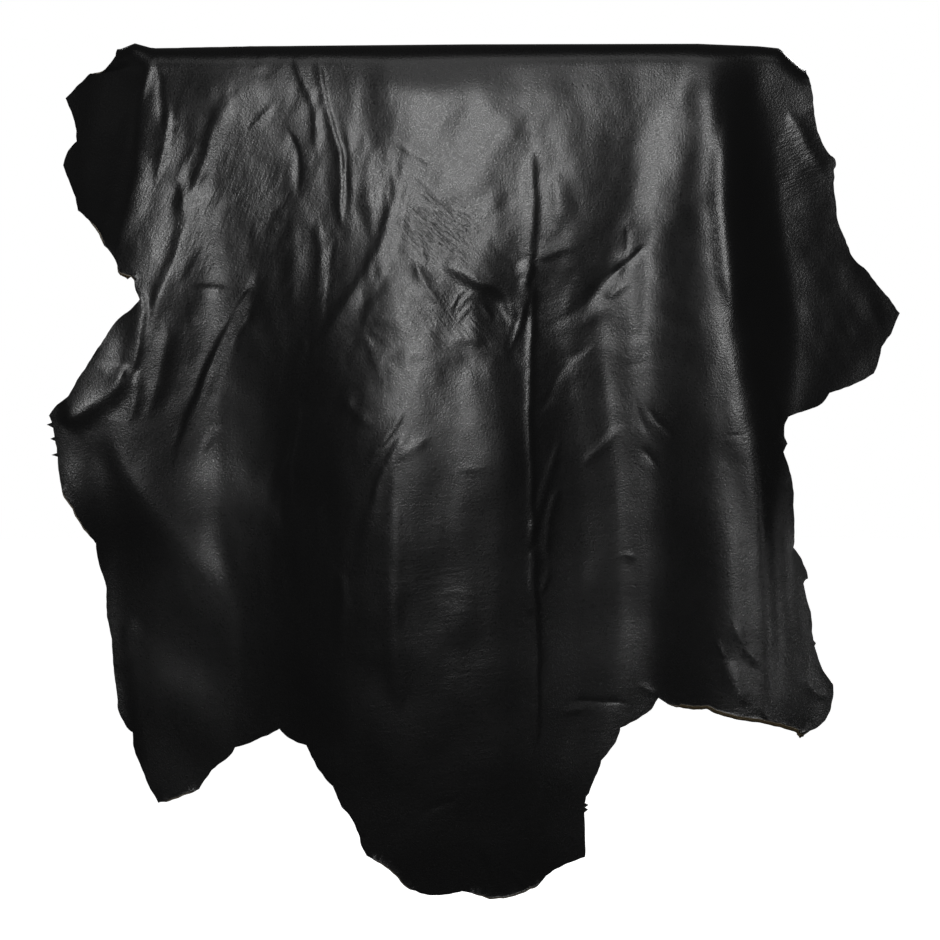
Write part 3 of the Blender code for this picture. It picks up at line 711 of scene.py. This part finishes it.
def inside_edge(points, edge, margin):
    """Which points lie inside the edge, more than the margin away from it."""
    inside = np.zeros(len(points), bool)
    for start, end in zip(edge, np.roll(edge, -1, axis=0)):
        step = end - start
        crosses = (start[1] > points[:, 1]) != (end[1] > points[:, 1])
        rise = step[1] if step[1] else 1.0
        reached = start[0] + (points[:, 1] - start[1]) * step[0] / rise
        inside ^= crosses & (points[:, 0] < reached)
    tree = edge_tree(edge)
    nearest = np.array([tree.find((point[0], point[1], 0))[2] for point in points])
    return inside & (nearest > margin)


def spread_out(points, rooms):
    """The points, in order, that keep their room from all those kept before them."""
    cell = max(rooms)
    kept = {}
    chosen = []
    for i, (point, room) in enumerate(zip(points, rooms)):
        column, row = int(point[0] // cell), int(point[1] // cell)
        near = (other for a in (-1, 0, 1) for b in (-1, 0, 1)
                for other in kept.get((column + a, row + b), ()))
        if all((other[0] - point[0]) ** 2 + (other[1] - point[1]) ** 2 > room * room
               for other in near):
            kept.setdefault((column, row), []).append(point)
            chosen.append(i)
    return points[chosen]


def crease_points():
    """Rows of points along each crease, close together at its crest."""
    rows = []
    for crease in CREASES:
        curve = smooth_curve(crease.points, CREASE_STEP)
        along = np.gradient(curve, axis=0)
        right = np.stack([along[:, 1], -along[:, 0]], axis=-1)
        right /= np.hypot(right[:, 0], right[:, 1])[:, None]
        for share in CREASE_ROWS:
            rows.append(curve + right * share * min(crease.right, CREASE_REACH))
            if share:
                rows.append(curve - right * share * min(crease.left, CREASE_REACH))
    rows = np.concatenate(rows)
    rows[:, 1] += BEND_SLACK
    return rows


def curl_points(edge, roll, turn):
    """Rows of points inside each stretch of the edge that rolls up."""
    rolls = turn > 0
    inwards = -outwards_of(edge)[rolls]
    length = (roll * turn)[rolls][:, None]
    return np.concatenate([edge[rolls] + inwards * length * (row / CURL_ROWS)
                           for row in range(1, CURL_ROWS + CURL_ROWS_PAST + 1)])


def zone_points(zone, reach):
    """Rows of points over one zone, every other row shifted by half a step."""
    rows = []
    for number, path in enumerate(np.arange(zone.start, zone.end, zone.along)):
        places = np.arange(-reach, reach, zone.across) + zone.across / 2 * (number % 2)
        rows.append(np.column_stack([places, np.full(len(places), path)]))
    return np.concatenate(rows)


def sheet_mesh(name):
    """The hide's middle surface, draped, with the flat area of its cut."""
    edge = wandered(cut_edge())
    roll, turn = curl_turns(edge)
    edge = rolled_edge(edge, roll, turn)
    reach = np.abs(edge[:, 0]).max() + REACH_MARGIN
    groups = [(curl_points(edge, roll, turn), CURL_ROOM), (crease_points(), ROW_ROOM)]
    for zone in ZONES:
        groups.append((zone_points(zone, reach), BASE_ROOM * min(zone.across, zone.along)))
    inner = []
    rooms = []
    for points, room in groups:
        points = points[inside_edge(points, edge, max(room * EDGE_ROOM, LEAST_MARGIN))]
        inner.append(points)
        rooms.append(np.full(len(points), room))
    inner = spread_out(np.concatenate(inner), np.concatenate(rooms))
    flat = np.concatenate([edge, inner])
    loop = [(i, (i + 1) % len(edge)) for i in range(len(edge))]
    flat = [Vector(point) for point in flat]
    placed, _, triangles, *_ = delaunay_2d_cdt(flat, loop, [], 1, WELD)
    placed = np.array([tuple(point) for point in placed])
    moved, lift = curled(placed, edge, roll, turn)
    draped = drape(moved[:, 0], moved[:, 1], lift) * MM
    sheet = bmesh.new()
    corners = [sheet.verts.new(point) for point in draped]
    for triangle in triangles:
        sheet.faces.new([corners[i] for i in triangle])
    bmesh.ops.recalc_face_normals(sheet, faces=sheet.faces[:])
    ahead = [face for face in sheet.faces if face.calc_center_median().y < 0]
    front = min(ahead, key=lambda face: abs(face.calc_center_median().z - FRONT_SPOT))
    if front.normal.y > 0:
        bmesh.ops.reverse_faces(sheet, faces=sheet.faces[:])
    mesh = bpy.data.meshes.new(name)
    sheet.to_mesh(mesh)
    sheet.free()
    mesh.shade_smooth()
    after = np.roll(edge, -1, axis=0)
    area = abs((edge[:, 0] * after[:, 1] - after[:, 0] * edge[:, 1]).sum()) / 2
    return mesh, area * MM * MM


# ---- materials ----
GRAIN_COLOUR, GRAIN_ROUGHNESS = (0.006, 0.006, 0.0062), 0.35
FLESH_COLOUR, FLESH_ROUGHNESS, FLESH_SPECULAR = (0.10, 0.075, 0.04), 0.95, 0.1
EDGE_COLOUR, EDGE_ROUGHNESS = (0.16, 0.14, 0.11), 0.85
PEBBLES = 540  # to the metre
HATCH_CORE = 0.35  # the share of a patch over which its hatching is at its full strength
HATCH_BREAKS = 0.6  # how much its lines wander

# A noise: how many of its waves go to the metre, its detail and its roughness.
Noise = namedtuple("Noise", "scale detail rough")
COARSE = Noise(120, 3, 0.55)
FINE = Noise(850, 2, 0.6)
BLOTCH = Noise(14, 4, 0.6)
NAP = Noise(480, 4, 0.7)
CUT_LAYERS = Noise(700, 2, 0.5)

# A layer of relief by bump: how deep it is, and how much of it is felt.
Relief = namedtuple("Relief", "depth strength")
COARSE_RELIEF = Relief(0.25, 0.3)
PEBBLE_RELIEF = Relief(0.17, 0.7)
FINE_RELIEF = Relief(0.12, 0.8)
NAP_RELIEF = Relief(0.8, 0.6)
CUT_RELIEF = Relief(0.4, 0.5)

# A noise turned into roughness: between these two of its values, between these two results.
Span = namedtuple("Span", "From_Min From_Max To_Min To_Max")
WORN_GLOSS = Span(0.3, 0.7, -0.02, 0.02)
PORE_GLOSS = Span(0.35, 0.65, 0.25, 0.37)
HATCH_FADE = Span(HATCH_CORE, 1, 1, 0)


def new_material(name, colour, roughness):
    material = bpy.data.materials.new(name)
    material.use_nodes = True
    surface = material.node_tree.nodes["Principled BSDF"]
    surface.inputs["Base Color"].default_value = (*colour, 1)
    surface.inputs["Roughness"].default_value = roughness
    return material, material.node_tree, surface


def set_inputs(node, **values):
    for name, value in values.items():
        node.inputs[name.replace("_", " ")].default_value = value
    return node


def noise_over(tree, place, kind):
    """The value of one noise at each place."""
    values = set_inputs(tree.nodes.new("ShaderNodeTexNoise"), Scale=kind.scale,
                        Detail=kind.detail, Roughness=kind.rough)
    tree.links.new(place, values.inputs["Vector"])
    return values.outputs["Fac"]


def ranged(tree, value, span):
    """A value mapped over a span."""
    mapped = set_inputs(tree.nodes.new("ShaderNodeMapRange"), **span._asdict())
    tree.links.new(value, mapped.inputs["Value"])
    return mapped.outputs["Result"]


def bumped(tree, height, relief, below=None):
    """One more layer of relief, on top of the layer below."""
    bump = set_inputs(tree.nodes.new("ShaderNodeBump"), Distance=relief.depth * MM,
                      Strength=relief.strength)
    tree.links.new(height, bump.inputs["Height"])
    if below is not None:
        tree.links.new(below, bump.inputs["Normal"])
    return bump.outputs["Normal"]


def inside_patch(tree, place, middle, size, turn=0):
    """The places measured from a patch's middle, in its own turned axes and in sizes of it."""
    patch = tree.nodes.new("ShaderNodeMapping")
    patch.vector_type = "TEXTURE"
    patch.inputs["Location"].default_value = middle
    patch.inputs["Rotation"].default_value = (0, turn, 0)
    patch.inputs["Scale"].default_value = size
    tree.links.new(place, patch.inputs["Vector"])
    return patch.outputs["Vector"]


def hatched(tree, place, hatch, below):
    """Fine broken lines over one patch of the grain, which fade away round its middle."""
    middle = (hatch.across * MM, 0, -hatch.drop * MM)
    reach = (hatch.width * MM, 1, hatch.height * MM)
    away = tree.nodes.new("ShaderNodeVectorMath")
    away.operation = "LENGTH"
    tree.links.new(inside_patch(tree, place, middle, reach), away.inputs[0])
    fade = ranged(tree, away.outputs["Value"], HATCH_FADE)

    spacing = hatch.spacing * MM
    size = (spacing, spacing, spacing * HATCH_LENGTH)
    lines = set_inputs(tree.nodes.new("ShaderNodeTexNoise"), Scale=1, Detail=1,
                       Distortion=HATCH_BREAKS)
    turned = inside_patch(tree, place, middle, size, math.radians(hatch.tilt))
    tree.links.new(turned, lines.inputs["Vector"])
    bump = tree.nodes.new("ShaderNodeBump")
    bump.inputs["Distance"].default_value = hatch.depth * MM
    tree.links.new(fade, bump.inputs["Strength"])
    tree.links.new(lines.outputs["Fac"], bump.inputs["Height"])
    tree.links.new(below, bump.inputs["Normal"])
    return bump.outputs["Normal"]


def grain_leather():
    material, tree, surface = new_material("black_grain_leather", GRAIN_COLOUR, GRAIN_ROUGHNESS)
    place = tree.nodes.new("ShaderNodeTexCoord").outputs["Object"]
    pebbles = set_inputs(tree.nodes.new("ShaderNodeTexVoronoi"), Scale=PEBBLES, Randomness=1)
    tree.links.new(place, pebbles.inputs["Vector"])
    fine = noise_over(tree, place, FINE)

    relief = bumped(tree, noise_over(tree, place, COARSE), COARSE_RELIEF)
    for hatch in HATCHES:
        relief = hatched(tree, place, hatch, relief)
    relief = bumped(tree, pebbles.outputs["Distance"], PEBBLE_RELIEF, relief)
    relief = bumped(tree, fine, FINE_RELIEF, relief)
    tree.links.new(relief, surface.inputs["Normal"])

    gloss = tree.nodes.new("ShaderNodeMath")
    worn = ranged(tree, noise_over(tree, place, BLOTCH), WORN_GLOSS)
    tree.links.new(worn, gloss.inputs[0])
    tree.links.new(ranged(tree, fine, PORE_GLOSS), gloss.inputs[1])
    tree.links.new(gloss.outputs["Value"], surface.inputs["Roughness"])
    return material


def rough_leather(name, colour, roughness, noise_kind, relief):
    """Leather that isn't grain: one colour, with one layer of relief."""
    material, tree, surface = new_material(name, colour, roughness)
    place = tree.nodes.new("ShaderNodeTexCoord").outputs["Object"]
    height = noise_over(tree, place, noise_kind)
    tree.links.new(bumped(tree, height, relief), surface.inputs["Normal"])
    return material, surface


def flesh_leather():
    material, surface = rough_leather("flesh_suede", FLESH_COLOUR, FLESH_ROUGHNESS, NAP, NAP_RELIEF)
    surface.inputs["Specular IOR Level"].default_value = FLESH_SPECULAR
    return material


def edge_leather():
    return rough_leather("cut_edge", EDGE_COLOUR, EDGE_ROUGHNESS, CUT_LAYERS, CUT_RELIEF)[0]


# ---- the pieces ----
def add_object(name, data):
    thing = bpy.data.objects.new(name, data)
    bpy.context.scene.collection.objects.link(thing)
    return thing


def made_solid(thing):
    """The object with its modifiers applied, and its cut edge left crisp."""
    seen = thing.evaluated_get(bpy.context.evaluated_depsgraph_get())
    mesh = bpy.data.meshes.new_from_object(seen)
    name = thing.name
    bpy.data.objects.remove(thing)
    mesh.set_sharp_from_angle(angle=math.radians(CRISP_ANGLE))
    return add_object(name, mesh)


def make_hide():
    mesh, area = sheet_mesh("leather_hide")
    hide = add_object("leather_hide", mesh)
    for material in (grain_leather(), flesh_leather(), edge_leather()):
        mesh.materials.append(material)
    skin = hide.modifiers.new("Thickness", "SOLIDIFY")
    skin.thickness = THICKNESS * MM
    skin.offset = 0
    skin.material_offset = 1  # the flesh side
    skin.material_offset_rim = 2  # the cut edge
    hide = made_solid(hide)
    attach(hide, "root")
    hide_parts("hide")


# ---- the studio ----
CAMERA_PLACE = (0, -3.223, -0.4273)
SENSOR = 36
LENS = 122.55
FLOOR_HEIGHT = -1.15
FLOOR_SIZE = 30
FLOOR_COLOUR = (0.8, 0.8, 0.8)
WHITE = (1, 1, 1, 1)
WORLD_LIGHT = 0.042

# A soft light: where it is, what it is aimed at, its two sizes, its watts, and how wide it shines
# in degrees. Places and sizes here are in metres.
Lamp = namedtuple("Lamp", "name place target size power spread", defaults=(180,))
LAMPS = [
    Lamp("key", (-0.02, -1.2, 0.03), (-0.02, 0, 0.03), (0.25, 0.8), 7),
    Lamp("top", (0, -1.2, 1.2), (0, 0, 0), (1.2, 0.8), 3.5),
    Lamp("low_fill", (0.75, -1.0, -0.6), (0.3, 0, -0.64), (0.2, 0.2), 0.012, 25),
    Lamp("ridge_fill", (0.15, -1.0, -0.5), (0.28, 0, -0.6), (0.1, 0.2), 0.008, 20),
    Lamp("left_fill", (-2.4, -0.9, 0.1), (-0.3, 0, -0.2), (0.8, 0.8), 0.3),
    Lamp("rear_left", (-1.6, 2.4, 1.0), (0, 0, -0.3), (0.9, 0.9), 40),
    Lamp("rear_right", (1.6, 2.4, 1.0), (0, 0, -0.3), (0.9, 0.9), 40),
]


def make_camera():
    data = bpy.data.cameras.new("camera")
    data.sensor_width = SENSOR
    data.lens = LENS
    camera = add_object("camera", data)
    camera.location = CAMERA_PLACE
    camera.rotation_euler = (math.radians(90), 0, 0)
    bpy.context.scene.camera = camera


def make_floor():
    mesh = bpy.data.meshes.new("floor")
    sheet = bmesh.new()
    bmesh.ops.create_grid(sheet, x_segments=1, y_segments=1, size=FLOOR_SIZE)
    sheet.to_mesh(mesh)
    sheet.free()
    floor = add_object("floor", mesh)
    floor.location.z = FLOOR_HEIGHT
    material, _, surface = new_material("pale_floor", FLOOR_COLOUR, 1)
    surface.inputs["Emission Color"].default_value = WHITE
    surface.inputs["Emission Strength"].default_value = 1
    mesh.materials.append(material)
    floor.visible_diffuse = False
    floor.visible_glossy = False
    floor.visible_shadow = False


def aim(thing, target):
    direction = Vector(target) - thing.location
    thing.rotation_euler = direction.to_track_quat("-Z", "Y").to_euler()


def make_light(lamp):
    data = bpy.data.lights.new(lamp.name, "AREA")
    data.shape = "ELLIPSE"
    data.size, data.size_y = lamp.size
    data.energy = lamp.power
    data.spread = math.radians(lamp.spread)
    light = add_object(lamp.name, data)
    light.location = lamp.place
    light.visible_camera = False
    aim(light, lamp.target)


def make_world():
    """White to the camera, and a dim even light to all else."""
    world = bpy.data.worlds.new("studio")
    bpy.context.scene.world = world
    world.use_nodes = True
    tree = world.node_tree
    tree.nodes.clear()
    output = tree.nodes.new("ShaderNodeOutputWorld")
    seen = set_inputs(tree.nodes.new("ShaderNodeBackground"), Color=WHITE, Strength=1)
    felt = set_inputs(tree.nodes.new("ShaderNodeBackground"), Color=WHITE, Strength=WORLD_LIGHT)
    rays = tree.nodes.new("ShaderNodeLightPath")
    mix = tree.nodes.new("ShaderNodeMixShader")
    tree.links.new(rays.outputs["Is Camera Ray"], mix.inputs["Fac"])
    tree.links.new(felt.outputs["Background"], mix.inputs[1])
    tree.links.new(seen.outputs["Background"], mix.inputs[2])
    tree.links.new(mix.outputs["Shader"], output.inputs["Surface"])


def make_studio():
    make_camera()
    make_floor()
    make_world()
    for lamp in LAMPS:
        make_light(lamp)
    view = bpy.context.scene.view_settings
    view.view_transform = "Standard"
    view.look = "None"


def main():
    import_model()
    make_studio()
    make_hide()


main()
